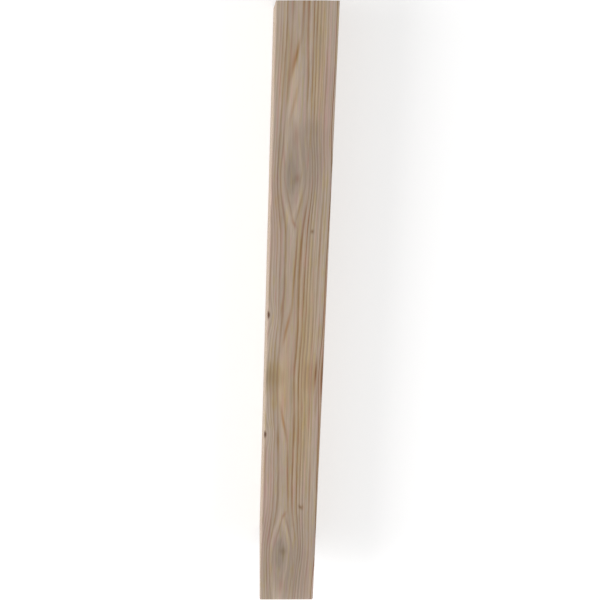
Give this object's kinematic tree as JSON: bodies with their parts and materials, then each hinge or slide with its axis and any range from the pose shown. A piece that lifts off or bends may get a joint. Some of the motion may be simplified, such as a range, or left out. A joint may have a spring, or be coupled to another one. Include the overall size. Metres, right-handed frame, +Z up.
{
  "type": "wooden knee brace",
  "caption": "Straight square timber with both ends mitred at 45 degrees, a diagonal brace between a post and a beam.",
  "frame": {"origin": "on the floor, under the middle of the long outer face, which is the middle of the timber", "axes": "+Y along the timber towards its post end, +X across it, +Z up through the long outer face; it lies on its short inner face"},
  "size_m": [0.0888, 1.2932, 0.0889],
  "materials": {
    "timber": "planed bare softwood, matt, flat-sawn grain with latewood lines and two pin knots"
  },
  "bodies": {
    "root": {"brace": "timber"}
  },
  "joints": []
}
